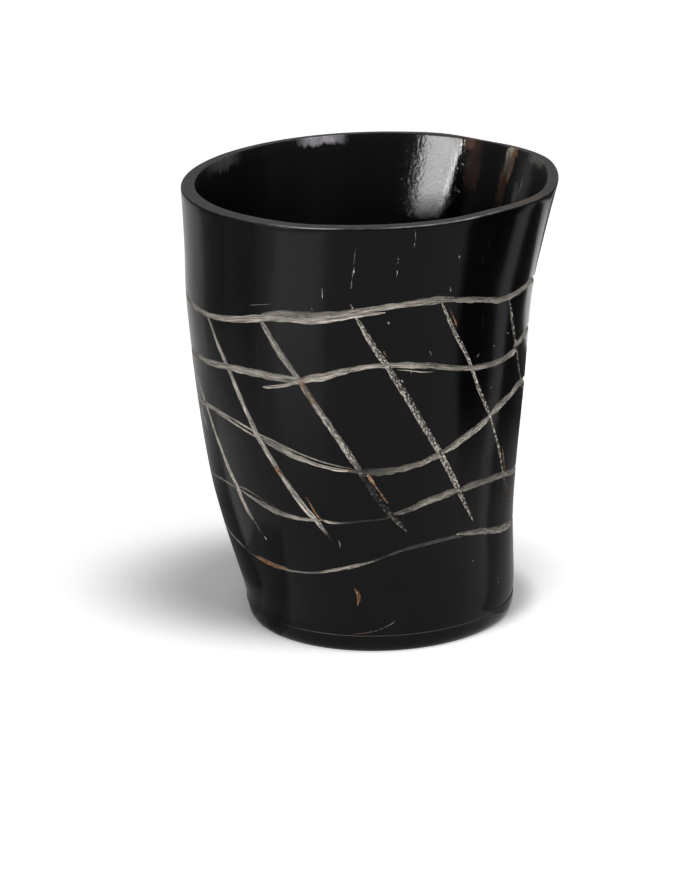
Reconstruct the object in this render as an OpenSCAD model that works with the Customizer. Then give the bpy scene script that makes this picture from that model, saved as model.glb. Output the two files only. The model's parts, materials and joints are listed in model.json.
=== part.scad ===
// Drinking cup cut from a buffalo horn: a leaning section of the hollow horn stands on a horn plate
// that closes its narrow end, and cured glue fills the joint between the two.
// The origin is the centre of the underside. +Z points up, and the horn leans towards -X.

/* [Horn section] */
// Height of the cup, from the surface it stands on to its lip
cup_h = 63.5; // [50:0.5:110]
// Outside width of the mouth
mouth_d = 52.7; // [44:0.1:80]
// Outside width of the wall where it meets the base plate
foot_d = 38; // [30:0.1:60]
// How far the middle of the horn bows sideways from the straight line between foot and mouth
horn_bow = 1.95; // [0:0.05:5]
// Mean thickness of the wall at the mouth
mouth_wall = 1.75; // [1.4:0.05:4]
// Thickness of the wall at the foot
foot_wall = 2.4; // [1.6:0.05:5]
// How much thicker and thinner than its mean the wall is, on the two sides of the mouth
wall_drift = 0.4; // [0:0.05:0.6]
// Height of the humps and hollows that growth left round the mouth
mouth_hump = 0.5; // [0:0.05:1]
// Height of the edge that is sanded round outside the lip
lip_ease_h = 0.35; // [0.1:0.05:1]
// Width of the edge that is sanded round outside the lip
lip_ease_w = 0.5; // [0.1:0.05:0.6]
// Size of the broken edge inside the lip
bore_ease = 0.2; // [0.05:0.05:0.3]

/* [Base plate] */
// Thickness of the plate under the wall
plate_t = 2.6; // [1.6:0.1:6]
// Width of the rounding round the underside
plate_round_w = 1.7; // [0.4:0.1:3]
// Height of the upright edge above the rounding
plate_edge_h = 0.2; // [0.1:0.05:0.8]
// Height of the step that stands up into the bore
step_h = 0.9; // [0.4:0.1:3]

/* [Glue] */
// Thickness of the glue under the wall and round the step
glue_t = 0.15; // [0.05:0.01:0.4]
// Width and height of the glue bead in the inner corner
bead_size = 0.9; // [0.3:0.05:2]
// How far the glue line lies back from the outside of the joint
glue_recess = 0.06; // [0:0.01:0.2]

/* [Carved net] */
// Width of the cuts that wander round the cup
ring_cut_w = 1.3; // [0.6:0.1:2.4]
// Width of the slanting cuts
slant_cut_w = 1.2; // [0.5:0.1:2.4]
// Depth of the cuts, where they are deepest
cut_depth = 0.4; // [0.1:0.05:0.6]
// Length over which a slanting cut runs out at its ends
run_out = 3; // [0.5:0.1:5]

/* [Hidden] */
$fn = 96;

horn_black = [0.12, 0.11, 0.11];
plate_black = [0.09, 0.085, 0.085];
glue_amber = [0.36, 0.3, 0.22];

// Levels of the rounded lip and down the bore
ease_levels = 3;
bore_levels = 8;

foot_r = foot_d / 2;
mouth_r = mouth_d / 2;
seam_z = plate_t + glue_t;
wall_h = cup_h - seam_z;
floor_z = plate_t + step_h;
// The thickest side of the wall is at the front left
thick_side = -120;

// Growth of the radius: [share of the wall's height, share of the way from foot to mouth]
taper_shares = [[0, 0], [0.12, 0.135], [0.3, 0.348], [0.5, 0.538], [0.7, 0.682], [0.8, 0.765],
    [0.9, 0.88], [1, 1]];
// Sideways place of the section: [share of the wall's height, share of the bow]
bow_shares = [[0, 0], [0.06, 0.26], [0.2, 0.73], [0.32, 0.98], [0.5, 1], [0.65, 0.96], [0.75, 0.84],
    [0.85, 0.44], [1, -0.09]];
// Humps and hollows of the mouth: [angle, spread in degrees, share of the hump's height]
hump_shares = [[20, 12, 0.9], [-24, 12, 0.8], [49, 10, -1.1], [-49, 11, -1], [68, 8, 0.6],
    [-112, 10, 0.6], [-95, 35, -0.8]];

// Slope of a table's column k at its point i, for a curve that passes smoothly through its points
function slope(table, i, k) =
    let (low = max(i - 1, 0), high = min(i + 1, len(table) - 1))
    (table[high][k] - table[low][k]) / (table[high][0] - table[low][0]);

// First span of a table that holds x
function span_of(table, x, i = 0) =
    (i >= len(table) - 2 || x <= table[i + 1][0]) ? i : span_of(table, x, i + 1);

// Value at x of the smooth curve through the points of a table's column k
function curve(table, x, k = 1) =
    let (i = span_of(table, x))
    let (a = table[i], b = table[i + 1], w = b[0] - a[0], t = (x - a[0]) / w)
    (2 * t ^ 3 - 3 * t ^ 2 + 1) * a[k] + (t ^ 3 - 2 * t ^ 2 + t) * w * slope(table, i, k)
    + (3 * t ^ 2 - 2 * t ^ 3) * b[k] + (t ^ 3 - t ^ 2) * w * slope(table, i + 1, k);

// Difference of two angles, from -180 to 180
function turn(a, b) = (a - b + 540) % 360 - 180;

function height_share(z) = (z - seam_z) / wall_h;
function hump(angle, z) =
    mouth_hump * height_share(z) ^ 2
    * [for (h = hump_shares) h[2] * exp(-(turn(angle, h[0]) / h[1]) ^ 2)] * [for (h = hump_shares) 1];
function outer_r(angle, z) =
    foot_r + (mouth_r - foot_r) * curve(taper_shares, height_share(z)) + hump(angle, z);
function wall_t(angle, z) =
    foot_wall + (mouth_wall - foot_wall) * height_share(z)
    + wall_drift * height_share(z) * cos(angle - thick_side);
function inner_r(angle, z) = outer_r(angle, z) - wall_t(angle, z);
function axis_x(z) = -horn_bow * curve(bow_shares, height_share(z));

// A point at a radius round the horn's axis
function spot(r, angle, z) = [axis_x(z) + r * cos(angle), r * sin(angle), z];

// The cuts that wander round the cup, from the foot up, each from the back round to the back:
// [angle, share of the cup's height, share of the cut's width and depth]
ring_cut_shares = [
    [[-270, 0.218, 0.6], [-240, 0.235, 0.7], [-210, 0.237, 0.8], [-185, 0.236, 0.7],
        [-165, 0.228, 0.6], [-145, 0.2, 0.7], [-125, 0.185, 0.5], [-105, 0.202, 0.5],
        [-80, 0.242, 0.6], [-55, 0.258, 0.8], [-35, 0.242, 0.9], [-12, 0.213, 0.8],
        [20, 0.205, 0.7], [55, 0.2, 0.8], [90, 0.218, 0.6]],
    [[-270, 0.355, 0.7], [-240, 0.365, 0.8], [-210, 0.358, 0.7], [-180, 0.353, 0.6],
        [-150, 0.368, 0.6], [-130, 0.347, 0.7], [-105, 0.319, 0.5], [-85, 0.33, 0.6],
        [-60, 0.363, 0.8], [-40, 0.371, 0.9], [-20, 0.352, 0.9], [0, 0.333, 0.8],
        [30, 0.32, 0.7], [60, 0.335, 0.8], [90, 0.355, 0.7]],
    [[-270, 0.47, 0.8], [-240, 0.49, 0.7], [-210, 0.505, 0.8], [-180, 0.507, 0.9],
        [-165, 0.526, 0.8], [-150, 0.534, 0.7], [-130, 0.512, 0.8], [-105, 0.46, 0.7],
        [-85, 0.438, 0.7], [-65, 0.458, 0.8], [-45, 0.508, 0.8], [-20, 0.561, 0.9],
        [0, 0.53, 0.9], [30, 0.485, 0.8], [60, 0.465, 0.7], [90, 0.47, 0.8]],
    [[-270, 0.65, 0.8], [-240, 0.645, 0.9], [-210, 0.628, 0.8], [-185, 0.626, 0.9],
        [-165, 0.637, 0.8], [-140, 0.657, 0.7], [-115, 0.652, 0.9], [-95, 0.68, 0.8],
        [-80, 0.687, 0.7], [-60, 0.658, 0.8], [-40, 0.64, 0.9], [-25, 0.65, 1],
        [-10, 0.668, 0.9], [5, 0.65, 0.8], [30, 0.625, 0.9], [60, 0.635, 0.7], [90, 0.65, 0.8]],
    [[-270, 0.795, 0.9], [-240, 0.79, 0.8], [-210, 0.772, 0.9], [-185, 0.766, 0.8],
        [-165, 0.762, 0.5], [-150, 0.757, 0.8], [-135, 0.769, 0.9], [-115, 0.798, 1],
        [-100, 0.798, 1], [-75, 0.82, 0.7], [-60, 0.816, 0.7], [-40, 0.789, 0.8],
        [-20, 0.793, 0.9], [0, 0.765, 0.9], [30, 0.757, 0.8], [60, 0.775, 1],
        [90, 0.795, 0.9]]];
// Levels between which the slanting cuts lean, as shares of the cup's height
slant_high_share = 0.79;
slant_low_share = 0.27;
// The slanting cuts, one after the other round the cup: [angle at the high level, angle at the low
// level, shares of the cup's height where the cut starts and ends, share of its width and depth]
slant_cut_shares = [[-179, -135, 0.635, 0.25, 0.8], [-152, -102, 0.765, 0.255, 1],
    [-124, -73, 0.795, 0.285, 1], [-91, -45, 0.81, 0.275, 0.8], [-61, -19, 0.82, 0.28, 0.7],
    [-33, 6, 0.79, 0.56, 0.6], [0, 46, 0.765, 0.28, 0.9], [30, 77, 0.76, 0.27, 0.8],
    [62, 109, 0.775, 0.275, 1], [95, 140, 0.795, 0.28, 0.9], [123, 169, 0.79, 0.29, 0.8],
    [151, 198, 0.775, 0.48, 0.9]];
// Places across a cut: [share of its half width, share of its depth]
across_shares = [[-1, 0], [-0.35, 1], [0.35, 1], [1, 0]];
// Levels of plain horn below each of the wandering cuts and above the last, and lines of plain horn
// between one slanting cut and the next
plain_levels = [3, 1, 1, 1, 1, 4];
plain_lines = 4;

// An angle brought into the range of the cuts' tables
function from_the_back(angle) = angle > 90 ? angle - 360 : angle < -270 ? angle + 360 : angle;

// Height of cut k's edge, or of the foot below the first cut and of the lip above the last
function edge_z(k, side, angle) =
    k < 0 ? seam_z
    : k == len(ring_cut_shares) ? cup_h - lip_ease_h
    : let (table = ring_cut_shares[k], a = from_the_back(angle))
        cup_h * curve(table, a) + side * ring_cut_w / 2 * curve(table, a, 2);

// The wall's levels: [cut below, side of it, cut above, side of it, share of the way up, depth share]
levels = concat(
    [[-1, 0, -1, 0, 0, 0]],
    [for (k = [0 : len(ring_cut_shares)]) each concat(
        [for (j = [1 : plain_levels[k]]) [k - 1, 1, k, -1, j / (plain_levels[k] + 1), 0]],
        [for (c = across_shares) if (k < len(ring_cut_shares)) [k, c[0], k, c[0], 0, c[1]]])],
    [[len(ring_cut_shares), 0, len(ring_cut_shares), 0, 0, 0]]);
function level_z(level, angle) =
    edge_z(level[0], level[1], angle) * (1 - level[4]) + edge_z(level[2], level[3], angle) * level[4];

// Angle of slanting cut k's edge at a height; the cut after the last is the first, once round
function edge_a(k, side, z) =
    let (n = len(slant_cut_shares), s = slant_cut_shares[k % n])
    let (high_z = cup_h * slant_high_share, low_z = cup_h * slant_low_share)
    let (a = s[0] + (s[1] - s[0]) * min(max((high_z - z) / (high_z - low_z), 0), 1))
    let (degree = PI / 180 * (foot_r + mouth_r) / 2)
    let (spread = norm([(s[1] - s[0]) * degree, high_z - low_z]) / (high_z - low_z))
    a + side * slant_cut_w / 2 * s[4] * spread / degree + 360 * floor(k / n);

// The wall's lines up the horn: [cut before, side of it, cut after, side of it, share of the way,
// depth share]
lines = [for (k = [0 : len(slant_cut_shares) - 1]) each concat(
    [for (c = across_shares) [k, c[0], k, c[0], 0, c[1]]],
    [for (j = [1 : plain_lines]) [k, 1, k + 1, -1, j / (plain_lines + 1), 0]])];
function line_a(line, z) =
    edge_a(line[0], line[1], z) * (1 - line[4]) + edge_a(line[2], line[3], z) * line[4];

// Where a level and a line cross: [angle, height]
function crossing(level, line, z, tries = 6) =
    let (a = line_a(line, z))
    tries == 0 ? [a, z] : crossing(level, line, level_z(level, a), tries - 1);

// How much of its depth a slanting cut has at a height, as it runs out at both ends
function runs_in(cut, z) =
    min(max(min(cut[2] * cup_h - z, z - cut[3] * cup_h) / run_out, 0), 1);

// A point of the carved outside
function carved(level, line) =
    let (p = crossing(level, line, level_z(level, line_a(line, cup_h / 2))))
    let (table = ring_cut_shares[min(max(level[0], 0), len(ring_cut_shares) - 1)])
    let (ring_share = level[5] * curve(table, from_the_back(p[0]), 2))
    let (cut = slant_cut_shares[line[0]], slant_share = line[5] * cut[4] * runs_in(cut, p[1]))
    spot(outer_r(p[0], p[1]) - cut_depth * max(ring_share, slant_share), p[0], p[1]);

// Rings of points that close on themselves both ways, as a solid
module ring_solid(rings) {
    n = len(rings[0]);
    m = len(rings);
    polyhedron(
        points = [for (ring = rings) each ring],
        faces = [for (j = [0 : m - 1]) for (i = [0 : n - 1])
            let (a = j * n + i, b = j * n + (i + 1) % n,
                c = ((j + 1) % m) * n + (i + 1) % n, d = ((j + 1) % m) * n + i)
            each [[a, c, b], [a, d, c]]],
        convexity = 6);
}

// The hollow horn: up its outside, where its levels and lines follow the cuts of the net, over the
// eased lip and down its bore
module horn_wall() {
    outside = [for (level = levels) [for (line = lines) carved(level, line)]];
    lip = [for (j = [1 : ease_levels])
        let (q = 90 * j / ease_levels, z = cup_h - lip_ease_h * (1 - sin(q)))
        [for (line = lines)
            let (a = line_a(line, z))
            spot(outer_r(a, z) - lip_ease_w * (1 - cos(q)), a, z)]];
    inner_edge = [[for (line = lines)
        let (a = line_a(line, cup_h))
        spot(inner_r(a, cup_h) + bore_ease, a, cup_h)]];
    bore = [for (j = [0 : bore_levels])
        let (z = cup_h - bore_ease - (wall_h - bore_ease) * j / bore_levels)
        [for (line = lines)
            let (a = line_a(line, z))
            spot(inner_r(a, z), a, z)]];
    color(horn_black)
        ring_solid(concat(outside, lip, inner_edge, bore));
}

step_r = foot_r - foot_wall - glue_t;
plate_round_h = plate_t - plate_edge_h;
// Steps of the rounding round the underside
round_steps = 6;

// The plate under the wall: rounded below, flat above, with a step up into the bore
module base_plate() {
    rounding = [for (i = [0 : round_steps])
        let (q = 90 * i / round_steps)
        [foot_r - plate_round_w * (1 - sin(q)), plate_round_h * (1 - cos(q))]];
    color(plate_black)
        rotate_extrude()
            polygon(concat([[0, 0]], rounding,
                [[foot_r, plate_t], [step_r, plate_t], [step_r, floor_z], [0, floor_z]]));
}

// Levels of the bead, and the gap that keeps the glue's flats off the round step
bead_levels = 4;
step_gap = 0.03;

// The cured glue: a film under the wall, a sleeve round the step and a bead in the inner corner
module glue_seam() {
    function ring(r, z) = [for (line = lines)
        let (a = line_a(line, z))
        [r * cos(a), r * sin(a), z]];
    film = [ring(foot_r - glue_recess, plate_t), ring(foot_r - glue_recess, seam_z)];
    up_the_bore = [for (j = [0 : bead_levels])
        let (z = seam_z + (floor_z + bead_size - seam_z) * j / bead_levels)
        [for (line = lines)
            let (a = line_a(line, z))
            spot(inner_r(a, z), a, z)]];
    hollow = [for (j = [1 : bead_levels])
        let (q = 90 * j / bead_levels, z = floor_z + bead_size * (1 - sin(q)))
        [for (line = lines)
            let (a = line_a(line, z))
            spot(inner_r(a, z) - bead_size * (1 - cos(q)), a, z)]];
    sleeve = [ring(step_r + step_gap, floor_z), ring(step_r + step_gap, plate_t)];
    color(glue_amber)
        ring_solid(concat(film, up_the_bore, hollow, sleeve));
}

horn_wall();
base_plate();
glue_seam();
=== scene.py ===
import json
from math import atan2, ceil, cos, degrees, exp, hypot, pi, radians, sin

import bpy
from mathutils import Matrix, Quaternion, Vector, noise

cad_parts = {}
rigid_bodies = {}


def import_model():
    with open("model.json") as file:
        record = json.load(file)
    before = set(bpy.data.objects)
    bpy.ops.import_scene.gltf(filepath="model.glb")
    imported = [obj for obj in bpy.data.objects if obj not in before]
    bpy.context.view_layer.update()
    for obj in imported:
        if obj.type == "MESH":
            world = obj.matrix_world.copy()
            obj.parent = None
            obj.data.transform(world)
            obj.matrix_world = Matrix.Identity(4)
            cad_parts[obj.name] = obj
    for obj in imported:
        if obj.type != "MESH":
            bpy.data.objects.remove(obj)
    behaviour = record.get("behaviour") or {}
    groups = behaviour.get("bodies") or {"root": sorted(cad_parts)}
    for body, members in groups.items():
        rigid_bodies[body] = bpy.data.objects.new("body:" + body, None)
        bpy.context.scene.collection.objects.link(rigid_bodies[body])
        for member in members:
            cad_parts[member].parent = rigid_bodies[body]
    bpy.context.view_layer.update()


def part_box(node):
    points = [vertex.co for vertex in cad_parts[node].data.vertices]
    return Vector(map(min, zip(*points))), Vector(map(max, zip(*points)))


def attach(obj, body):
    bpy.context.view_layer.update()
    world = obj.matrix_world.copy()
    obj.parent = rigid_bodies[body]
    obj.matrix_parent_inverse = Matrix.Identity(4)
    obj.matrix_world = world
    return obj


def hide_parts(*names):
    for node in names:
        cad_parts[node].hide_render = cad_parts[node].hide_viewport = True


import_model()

# Camera
# It stands in front of the cup, well above the lip, and looks down at it through a long lens. It is
# rolled a little, so that the cup stands as it does in the picture.
mm = 0.001
aim = Vector((-5.1, 0, 25.3)) * mm
camera_distance = 700 * mm
camera_height_angle = radians(18.07)
camera_roll = radians(1.674)
long_lens = 202.2
film_width = 36
sight_reach = 20

bpy.ops.object.camera_add()
camera = bpy.context.object
camera.name = "camera"
view_line = Vector((0, cos(camera_height_angle), -sin(camera_height_angle)))
camera.location = aim - view_line * camera_distance
camera.rotation_mode = "QUATERNION"
camera.rotation_quaternion = view_line.to_track_quat("-Z", "Y") @ Quaternion((0, 0, 1), -camera_roll)
camera.data.lens = long_lens
camera.data.sensor_width = film_width
camera.data.clip_end = sight_reach
bpy.context.scene.camera = camera
bpy.context.scene.view_settings.view_transform = "Standard"

# Floor
# A plain white sheet that runs out of sight on all sides. It glows where it is seen, so that it is
# white in the picture, but hardly near the cup, where the glow is held back to paint a soft shadow over the
# lamps' own.
sheet_size = 6
sheet_glow = 0.6
glow_in_painted_shadow = 0.02
bpy.ops.mesh.primitive_plane_add(size=sheet_size)
sheet = bpy.context.object
sheet.name = "floor"


def node(tree, kind, inputs=(), **settings):
    """Adds a node, sets it, and fills its inputs with values or with other nodes' outputs."""
    new = tree.nodes.new("ShaderNode" + kind)
    for name, value in settings.items():
        setattr(new, name, value)
    for key, value in dict(inputs).items():
        if isinstance(value, bpy.types.NodeSocket):
            tree.links.new(value, new.inputs[key])
        else:
            new.inputs[key].default_value = value
    return new


def maths(tree, operation, *values, clamp=False):
    """Result of one operation on values or on other nodes' outputs."""
    return node(tree, "Math", enumerate(values), operation=operation, use_clamp=clamp).outputs[0]


def spread(tree, value, low, high, to_low=0.0, to_high=1.0, change="LINEAR"):
    """Stretches the part of a value between two limits over another range."""
    limits = {0: value, 1: low, 2: high, 3: to_low, 4: to_high}
    return node(tree, "MapRange", limits, interpolation_type=change).outputs[0]


def new_finish(name, plain_values):
    """A new material with its plain values, and its tree, shader and Object coordinates."""
    finish = bpy.data.materials.new(name)
    finish.use_nodes = True
    tree = finish.node_tree
    shader = tree.nodes["Principled BSDF"]
    for socket, value in plain_values.items():
        shader.inputs[socket].default_value = value
    return finish, tree, shader, node(tree, "TexCoord").outputs["Object"]


sheet_white, tree, shader, place = new_finish("white sheet", {
    "Base Color": (0.9, 0.9, 0.9, 1), "Roughness": 1, "Specular IOR Level": 0,
    "Emission Color": (1, 1, 1, 1)})


def away_from(middle, shape, near, far, least):
    """A least value near a middle on the floor, one far from it, and between a soft change, in mm."""
    middle = Vector(middle) * mm
    from_middle = node(tree, "VectorMath", {0: place, 1: middle}, operation="SUBTRACT").outputs[0]
    shaped = node(tree, "VectorMath", {0: from_middle, 1: shape}, operation="MULTIPLY").outputs[0]
    distance = node(tree, "VectorMath", {0: shaped}, operation="LENGTH").outputs["Value"]
    return spread(tree, distance, near * mm, far * mm, least, change="SMOOTHSTEP")


# Painted shadow: the glow is held back in an oval off to the left and back of the cup, and in a ring round
# its foot
outside_painted_shadow = maths(tree, "MULTIPLY", away_from((-7.8, 12.4, 0), (1, 1.22, 1), 17, 40, 0.06),
                      away_from((0.8, 4.9, 0), (1, 1, 1), 18.8, 23, 0))
light_path = node(tree, "LightPath").outputs
seen = maths(tree, "MAXIMUM", light_path["Is Camera Ray"], light_path["Is Glossy Ray"])
seen = maths(tree, "MAXIMUM", seen, light_path["Is Transmission Ray"])
glow = maths(tree, "MULTIPLY", seen, spread(tree, outside_painted_shadow, 0, 1, glow_in_painted_shadow, sheet_glow))
tree.links.new(glow, shader.inputs["Emission Strength"])
sheet.data.materials.append(sheet_white)

# Light
# An even white room, a soft lamp overhead towards the right, which lays the shadow to the left, a
# low softbox at the front left, which the bore mirrors, and a weak panel that fills the front.
room_light = 0.34
lamp_aim = Vector((0, 0, 40)) * mm
world = bpy.data.worlds.new("white room")
bpy.context.scene.world = world
world.use_nodes = True
tree = world.node_tree
background = tree.nodes["Background"]
background.inputs["Color"].default_value = (1, 1, 1, 1)
camera_ray = node(tree, "LightPath").outputs["Is Camera Ray"]
room = maths(tree, "MULTIPLY_ADD", camera_ray, 1 - room_light, room_light)
tree.links.new(room, background.inputs["Strength"])


def soft_lamp(name, turn, height, distance, width, tall, power):
    """A rectangular lamp that faces the cup, at an angle round it and an angle above the floor."""
    turn, height = radians(turn), radians(height)
    away = Vector((cos(turn) * cos(height), sin(turn) * cos(height), sin(height)))
    bpy.ops.object.light_add(type="AREA", location=lamp_aim + away * distance)
    lamp = bpy.context.object
    lamp.name = name
    lamp.data.shape = "RECTANGLE"
    lamp.data.size = width
    lamp.data.size_y = tall
    lamp.data.energy = power
    lamp.rotation_euler = (-away).to_track_quat("-Z", "Y").to_euler()
    return lamp


soft_lamp("overhead lamp", turn=-38, height=62, distance=1.0, width=0.5, tall=0.4, power=2.2)
softbox = soft_lamp("softbox", turn=-142.2, height=14.3, distance=0.8, width=0.41, tall=0.075, power=17)
softbox.visible_diffuse = False
panel = soft_lamp("front panel", turn=-100, height=10, distance=1.0, width=0.8, tall=0.4, power=5.0)
panel.visible_glossy = False

# Cards on the floor
# Glowing dark, grey and bright cards lie round the cup, unseen by the camera, and are painted
# reflections: the polished wall mirrors them as bands of dark and light. Only mirrored light
# meets them. The far cards lie just over the near ones, at heights in millimetres.
far_card_z = 0.6
near_card_z = 0.3


def reflection_card_finish(name, near, far):
    """A glowing card, a painted reflection, as bright as told at two distances from the cup's middle, in
    millimetres.
    """
    finish, tree, shader, place = new_finish(name, {
        "Base Color": (0, 0, 0, 1), "Specular IOR Level": 0, "Emission Color": (1, 1, 1, 1)})
    distance = node(tree, "VectorMath", {0: place}, operation="LENGTH").outputs["Value"]
    brightness = spread(tree, distance, near[0] * mm, far[0] * mm, near[1], far[1])
    tree.links.new(brightness, shader.inputs["Emission Strength"])
    return finish


# Distance and brightness near and far, middle, angles between which the card lies, and its reach
for name, near, far, middle, turns, reach in (
        ("dark card", (60, 0.8), (90, 0.03), (20, -12), (-22, 7), (26, 520)),
        ("second dark card", (30, 0.42), (85, 0.05), (20, -12), (22, 104), (1, 165)),
        ("third dark card", (0, 0.08), (9, 0.08), (20, -12), (22, 69), (165, 520)),
        ("fourth dark card", (0, 0.06), (9, 0.06), (20, -12), (72, 104), (165, 520)),
        ("back left card", (50, 0.12), (130, 0.75), (-25, -6), (84, 143), (1, 520)),
        ("left dark card", (80, 0.95), (150, 0.32), (-20, -10), (143.5, 172), (70, 520)),
        ("left grey card", (80, 0.95), (150, 0.52), (-20, -10), (172, 200), (70, 520)),
        ("left near card", (19, 0.15), (40, 0.42), (0, 0), (84, 190), (18.5, 46)),
        ("left front card", (19, 0.25), (44, 0.6), (0, 0), (190, 212), (18.5, 45)),
        ("front near card", (19, 0.36), (44, 0.92), (0, 0), (212, 382), (18.5, 44)),
        ("bright card", (45, 1.0), (131, 2.5), (-12, -24), (-157, -109), (22, 220))):
    bpy.ops.mesh.primitive_plane_add(size=1)
    card = bpy.context.object
    card.name = name
    card_z = far_card_z if any(middle) else near_card_z
    corners = [(turns[0], reach[0]), (turns[0], reach[1]), (turns[1], reach[0]), (turns[1], reach[1])]
    for v, (turn, away) in zip(card.data.vertices, corners):
        v.co = Vector((*middle, card_z)) * mm
        v.co += Vector((cos(radians(turn)), sin(radians(turn)), 0)) * away * mm
    card.data.materials.append(reflection_card_finish(name, near, far))
    card.visible_camera = False
    card.visible_diffuse = False
    card.visible_shadow = False
    card.visible_transmission = False

# Horn wall
# The hollow section of black buffalo horn that is the cup's body. It is sawn off level at the lip
# and at the foot, leans as the horn grew, and was bored a little off its middle, so that the lip is
# thin at the back and thick at the front.
foot_z, lip_z = (corner.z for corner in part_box("horn_wall"))
wall_h = lip_z - foot_z
foot_r = 19.0 * mm
mouth_r = 26.324 * mm
horn_bow = 1.95 * mm
foot_wall = 2.4 * mm
mouth_wall = 1.75 * mm
bore_shift = 0.4 * mm
thick_side = radians(-120)
lip_ease_w = 0.5 * mm
lip_ease_h = 0.35 * mm
bore_ease = 0.2 * mm
mouth_hump = 0.5 * mm
thinnest_wall = 0.7 * mm
ring_points = 240
outside_rings = 64
bore_rings = 40
ease_steps = 4
hair = 0.001 * mm
# Growth of the radius and sideways place of the section: shares of the height, and of the whole
taper = [(0, -0.01), (0.12, 0.128), (0.2, 0.222), (0.3, 0.348), (0.5, 0.548), (0.7, 0.692), (0.8, 0.771),
         (0.9, 0.876), (1, 1)]
bow = [(0, -0.09), (0.04, 0.03), (0.1, 0.29), (0.2, 0.7), (0.32, 0.95), (0.5, 0.99), (0.65, 0.96),
       (0.75, 0.86), (0.85, 0.49), (1, -0.08)]
# Humps and hollows round the mouth: angle, spread, and shares of the hump's height on the outside
# and on the bore
humps = [(20, 12, 0.9, 0.9), (-24, 12, 0.8, 0.8), (49, 10, -1.1, -0.3), (-49, 11, -1, -1),
         (68, 8, 0.6, 0.1), (-112, 10, 0.6, 0.6), (-95, 35, -0.8, -0.8)]


def smooth_curve(points, x):
    """Height at x of a smooth curve through the points."""
    i = max(k for k in range(len(points) - 1) if points[k][0] <= x or k == 0)

    def slope(k):
        low, high = points[max(k - 1, 0)], points[min(k + 1, len(points) - 1)]
        return (high[1] - low[1]) / (high[0] - low[0])

    (x0, y0), (x1, y1) = points[i][:2], points[i + 1][:2]
    w = x1 - x0
    t = (x - x0) / w
    return ((2 * t**3 - 3 * t**2 + 1) * y0 + (t**3 - 2 * t**2 + t) * w * slope(i)
            + (3 * t**2 - 2 * t**3) * y1 + (t**3 - t**2) * w * slope(i + 1))


def section(z):
    """Sideways place of the horn's middle and its outside radius at a height."""
    t = (z - foot_z) / wall_h
    return -horn_bow * smooth_curve(bow, t), foot_r + (mouth_r - foot_r) * smooth_curve(taper, t)


def bore(z):
    """Middle and radius of the bore at a height."""
    x, r = section(z)
    t = (z - foot_z) / wall_h
    middle = (x - bore_shift * t * cos(thick_side), -bore_shift * t * sin(thick_side), z)
    return middle, r - foot_wall - (mouth_wall - foot_wall) * t


def first_ring(name, radius, z):
    """Starts a round piece with one ring, selected in edit mode and ready to be drawn out."""
    global ring_place, ring_radius
    bpy.ops.object.select_all(action="DESELECT")
    bpy.ops.mesh.primitive_circle_add(vertices=ring_points, radius=radius)
    bpy.context.object.name = name
    bpy.ops.object.mode_set(mode="EDIT")
    bpy.ops.mesh.select_all(action="SELECT")
    bpy.ops.transform.translate(value=(0, 0, z))
    ring_place, ring_radius = Vector((0, 0, z)), radius
    return bpy.context.object


def next_ring(place, radius):
    """Extrudes the selected ring to a new place and radius."""
    global ring_place, ring_radius
    step = Vector(place) - ring_place
    bpy.ops.mesh.extrude_edges_move(TRANSFORM_OT_translate={"value": step})
    k = radius / ring_radius
    bpy.ops.transform.resize(value=(k, k, 1), center_override=place)
    ring_place, ring_radius = Vector(place), radius


def select_edges_at(piece, z):
    """Selects the edges of a piece that lie at a height, within a hair, and nothing else."""
    bpy.ops.mesh.select_all(action="DESELECT")
    bpy.ops.mesh.select_mode(type="EDGE")
    bpy.ops.object.mode_set(mode="OBJECT")
    for e in piece.data.edges:
        e.select = all(abs(piece.data.vertices[v].co.z - z) < hair for v in e.vertices)
    bpy.ops.object.mode_set(mode="EDIT")


def turn_faces_out():
    """Turns every face of the edited piece outwards, and leaves edit mode."""
    bpy.ops.mesh.select_all(action="SELECT")
    bpy.ops.mesh.normals_make_consistent(inside=False)
    bpy.ops.object.mode_set(mode="OBJECT")


wall = first_ring("carved_horn", foot_r, foot_z)
for i in range(1, outside_rings + 1):
    z = foot_z + (wall_h - lip_ease_h) * i / outside_rings
    x, r = section(z)
    next_ring((x, 0, z), r)
for i in range(1, ease_steps + 1):
    turn = pi / 2 * i / ease_steps
    z = lip_z - lip_ease_h * (1 - sin(turn))
    x, r = section(z)
    next_ring((x, 0, z), r - lip_ease_w * (1 - cos(turn)))
for i in range(ease_steps + 1):
    turn = pi / 2 * i / ease_steps
    place, r = bore(lip_z - bore_ease * (1 - cos(turn)))
    next_ring(place, r + bore_ease * (1 - sin(turn)))
for i in range(1, bore_rings + 1):
    z = lip_z - bore_ease - (wall_h - bore_ease) * i / bore_rings
    next_ring(*bore(z))
select_edges_at(wall, foot_z)
bpy.ops.mesh.bridge_edge_loops()
turn_faces_out()
# The mouth grew in humps and hollows, and the bored inside follows most of them
for v in wall.data.vertices:
    middle, r = section(v.co.z)
    outward = Vector((v.co.x - middle, v.co.y, 0))
    bored = outward.length < r - thinnest_wall
    outward.normalize()
    angle = degrees(atan2(outward.y, outward.x))
    push = sum(shares[bored] * exp(-(((angle - at + 180) % 360 - 180) / spread_angle)**2)
               for at, spread_angle, *shares in humps)
    v.co += outward * mouth_hump * push * ((v.co.z - foot_z) / wall_h)**2


def effect(name, inputs, outputs):
    """An empty node group with named inputs and outputs."""
    group = bpy.data.node_groups.new(name, "ShaderNodeTree")
    for socket, kind, value in inputs:
        group.interface.new_socket(socket, in_out="INPUT", socket_type=kind).default_value = value
    for socket, kind in outputs:
        group.interface.new_socket(socket, in_out="OUTPUT", socket_type=kind)
    return group, group.nodes.new("NodeGroupInput").outputs, group.nodes.new("NodeGroupOutput").inputs


def use(tree, group, **values):
    """Places an effect in a material with its own values, and gives its outputs."""
    return node(tree, "Group", values, node_tree=group).outputs


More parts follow.
